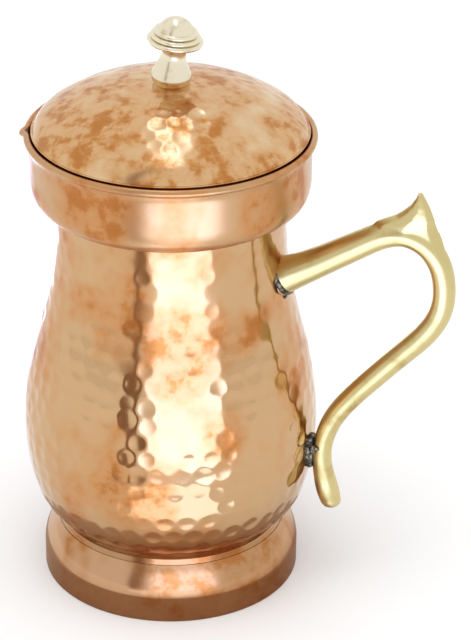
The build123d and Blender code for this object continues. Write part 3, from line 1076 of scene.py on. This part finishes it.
# ---- studio ----------------------------------------------------------------------------------
@dataclass(frozen=True)
class SoftBox:
    """Rectangular lamp that faces the jug."""

    name: str
    azimuth: float                # where it hangs, degrees from the camera's direction
    elevation: float              # degrees above level
    distance: float               # from the jug, metres
    size: Point                   # width and height, metres
    radiance: float               # brightness of its face
    middle: float = 0.12          # height of the point it faces, metres
    tint: str = "#FFFFFF"
    gloss_only: bool = True       # seen only in reflections; otherwise lights only matt surfaces
    flat: bool = False            # lies level and shines up


COOL, BLUE = "#BBD4FF", "#AFC6FF"


@dataclass
class Studio:
    """Pale floor, a light tent, soft lamps, a felt flag, a dark disc of painted shade under the foot and
    the camera.
    """

    azimuth: float = 17.0         # camera's direction round the jug, degrees
    elevation: float = 27.37
    roll: float = 0.574
    distance: float = 1350.0
    lens_mm: float = 168.224625
    sensor_mm: float = 36.0
    aside: float = 29.13          # of the aimed point, to the camera's right
    up: float = 123.83            # height of the aimed point
    clip_start: float = 0.05
    floor_size: float = 8.0
    floor_z: float = -0.05        # mm, just under the foot
    floor_tones: tuple[str, str] = ("#F6F7F8", "#F9FAFB")
    tent: str = "#FAFAFA"
    gap: str = "#8A6A50"
    gap_azimuth: float = -31.0
    gap_fade: Point = (3.0, 6.5)  # degrees from its middle
    tent_strength: float = 1.04
    upright_azimuth: float = -25.5
    upright_distance: float = 0.225
    upright_middle: float = 0.085
    upright_size: Point = (0.034, 0.17)
    upright_felt: tuple[str, str] = ("#7A5A44", "#C2A48E")
    # dark disc under the foot, seen only in reflections: painted shade of the floor round the foot
    round_radius: float = 0.085
    round_z: float = -0.02        # mm
    round_felt: tuple[str, str] = ("#B8A08E", "#CDBBAC")
    lamps: tuple[SoftBox, ...] = (
        SoftBox("soft_box_front", 10.5, 0.0, 0.235, (0.225, 0.16), 2.75, 0.082, BLUE),
        SoftBox("soft_box_back", 196.0, 0.0, 0.235, (0.20, 0.16), 2.3, 0.082, BLUE),
        SoftBox("soft_box_low", 4.0, 0.0, 0.146, (0.13, 0.085), 1.6, 0.002, COOL, flat=True),
        SoftBox("soft_box_lid", 2.0, 102.0, 1.5, (0.22, 1.2), 2.2, 0.2, COOL),
        SoftBox("soft_box_top", -20.0, 75.0, 2.4, (1.6, 1.6), 1.7, gloss_only=False))

    def direction(self, azimuth: float, elevation: float) -> Vector:
        """Unit vector from the jug towards a place, azimuth counted from the camera's own."""
        a, e = math.radians(self.azimuth + azimuth), math.radians(elevation)
        return Vector((math.sin(a) * math.cos(e), -math.cos(a) * math.cos(e), math.sin(e)))

    def camera(self) -> None:
        """Stand the camera."""
        back = self.direction(0, self.elevation)
        right = Vector((math.cos(math.radians(self.azimuth)), math.sin(math.radians(self.azimuth)), 0))
        over = back.cross(right)
        roll = math.radians(self.roll)
        x = right * math.cos(roll) + over * math.sin(roll)
        y = over * math.cos(roll) - right * math.sin(roll)
        at = right * self.aside * MM + Vector((0, 0, self.up * MM)) + back * self.distance * MM
        lens = bpy.data.cameras.new("camera")
        lens.sensor_width = self.sensor_mm
        lens.lens = self.lens_mm
        lens.clip_start = self.clip_start
        holder = bpy.data.objects.new("camera", lens)
        bpy.context.collection.objects.link(holder)
        holder.matrix_world = Matrix.Translation(at) @ Matrix((x, y, back)).transposed().to_4x4()
        bpy.context.scene.camera = holder

    def floor(self) -> None:
        """Lay the pale floor."""
        deselect()
        bpy.ops.mesh.primitive_plane_add(size=self.floor_size,
                                         location=(0, 0, self.floor_z * MM))
        floor = bpy.context.object
        floor.name = "floor"
        material, tree, shader = blank_material("painted_board_matt", 0.0)
        shader.inputs["Roughness"].default_value = 0.9
        shader.inputs["Specular IOR Level"].default_value = 0.1
        grain = add_node(tree, "ShaderNodeTexNoise", {"Scale": 3.0})
        tone = add_node(tree, "ShaderNodeMix", {"data_type": "RGBA"}, {"Factor": grain.outputs["Fac"]})
        tone.inputs[6].default_value = to_linear(self.floor_tones[0])
        tone.inputs[7].default_value = to_linear(self.floor_tones[1])
        tree.links.new(tone.outputs[2], shader.inputs["Base Color"])
        floor.data.materials.append(material)

    def soft_box(self, box: SoftBox) -> None:
        """Hang one lamp."""
        lamp = bpy.data.lights.new(box.name, "AREA")
        lamp.shape = "RECTANGLE"
        lamp.size, lamp.size_y = box.size
        lamp.energy = box.radiance * 4 * box.size[0] * box.size[1]
        lamp.color = to_linear(box.tint)[:3]
        holder = bpy.data.objects.new(box.name, lamp)
        bpy.context.collection.objects.link(holder)
        way = self.direction(box.azimuth, box.elevation)
        holder.location = way * box.distance + Vector((0, 0, box.middle))
        holder.rotation_euler = way.to_track_quat("Z", "Y").to_euler()
        if box.flat:
            holder.rotation_euler = (math.pi, 0, math.radians(self.azimuth + box.azimuth))
        holder.visible_camera = False
        holder.visible_diffuse = not box.gloss_only
        holder.visible_glossy = box.gloss_only

    def flag(self, name: str, piece: bpy.types.Object, tones: tuple[str, str]) -> None:
        """Cover a panel with dull tones and let it show only in the copper.

        Args:
            name: its name.
            piece: the panel, in place.
            tones: its darker and lighter colour.
        """
        piece.name = name
        material, tree, shader = blank_material(name + "_felt", 0.0)
        shader.inputs["Roughness"].default_value = 1.0
        shader.inputs["Specular IOR Level"].default_value = 0.0
        tone_noise = add_node(tree, "ShaderNodeTexNoise", {"Scale": 40.0})
        tone = add_node(tree, "ShaderNodeMix", {"data_type": "RGBA"}, {"Factor": tone_noise.outputs["Fac"]})
        tone.inputs[6].default_value = to_linear(tones[0])
        tone.inputs[7].default_value = to_linear(tones[1])
        tree.links.new(tone.outputs[2], shader.inputs["Base Color"])
        piece.data.materials.append(material)
        piece.visible_camera = False
        piece.visible_diffuse = False
        piece.visible_shadow = False

    def flags(self) -> None:
        """Stand a narrow flag beside the highlight and lay a dark disc under the foot, seen only in
        reflections: painted shade of the floor round the foot.
        """
        way = self.direction(self.upright_azimuth, 0.0)
        deselect()
        bpy.ops.mesh.primitive_plane_add(
            size=1.0, location=way * self.upright_distance + Vector((0, 0, self.upright_middle)),
            rotation=way.to_track_quat("Z", "Y").to_euler())
        upright = bpy.context.object
        upright.scale = (*self.upright_size, 1.0)
        self.flag("flag_upright", upright, self.upright_felt)
        deselect()
        # painted shade: a dark disc under the foot, seen only in the copper
        bpy.ops.mesh.primitive_circle_add(vertices=64, radius=self.round_radius, fill_type="NGON",
                                          location=(0, 0, self.round_z * MM))
        self.flag("shade_disc_round", bpy.context.object, self.round_felt)

    def tent_world(self) -> None:
        """Surround the jug with a white tent that has one warm gap beside the soft box."""
        world = bpy.data.worlds.new("light_tent")
        bpy.context.scene.world = world
        world.use_nodes = True
        tree = world.node_tree
        background = tree.nodes["Background"]
        way = add_node(tree, "ShaderNodeTexCoord").outputs["Generated"]
        axes = add_node(tree, "ShaderNodeSeparateXYZ", None, {0: way})
        turn = add_node(tree, "ShaderNodeMath", {"operation": "ARCTAN2"},
                        {0: axes.outputs["Y"], 1: axes.outputs["X"]})
        gap_at = self.direction(self.gap_azimuth, 0.0)
        off = add_node(tree, "ShaderNodeMath", {
            "operation": "SUBTRACT", 1: math.atan2(gap_at.y, gap_at.x)}, {0: turn.outputs[0]})
        size = add_node(tree, "ShaderNodeMath", {"operation": "ABSOLUTE"}, {0: off.outputs[0]})
        band = add_node(tree, "ShaderNodeMapRange", {
            "interpolation_type": "SMOOTHSTEP", "From Min": math.radians(self.gap_fade[0]),
            "From Max": math.radians(self.gap_fade[1]), "To Min": 1.0, "To Max": 0.0},
            {"Value": size.outputs[0]})
        tone = add_node(tree, "ShaderNodeMix", {"data_type": "RGBA"}, {"Factor": band.outputs[0]})
        tone.inputs[6].default_value = to_linear(self.tent)
        tone.inputs[7].default_value = to_linear(self.gap)
        tree.links.new(tone.outputs[2], background.inputs["Color"])
        background.inputs["Strength"].default_value = self.tent_strength

    def build(self) -> None:
        """Set up everything that is not the jug."""
        self.camera()
        self.floor()
        self.tent_world()
        for box in self.lamps:
            self.soft_box(box)
        self.flags()
        bpy.context.scene.view_settings.view_transform = "Standard"
        LOG.info("studio ready")


def main() -> None:
    """Build the studio and every piece of the jug."""
    logging.basicConfig(level=logging.INFO, format="%(name)s %(message)s")
    Studio().build()
    finishes = Finishes.make()
    for part in (HammeredBody(), MouthCollar(), FootRing(), CastHandle(), LidDome()):
        part.dress(part.build(), finishes)
    joints = Joints()
    joints.dress(joints.braze(), joints.pad(), finishes)
    knob = TurnedKnob()
    knob.dress(knob.build(LidDome().height(0.0)), finishes)
    dress_frame_nodes(finishes)


if __name__ == "__main__":
    main()
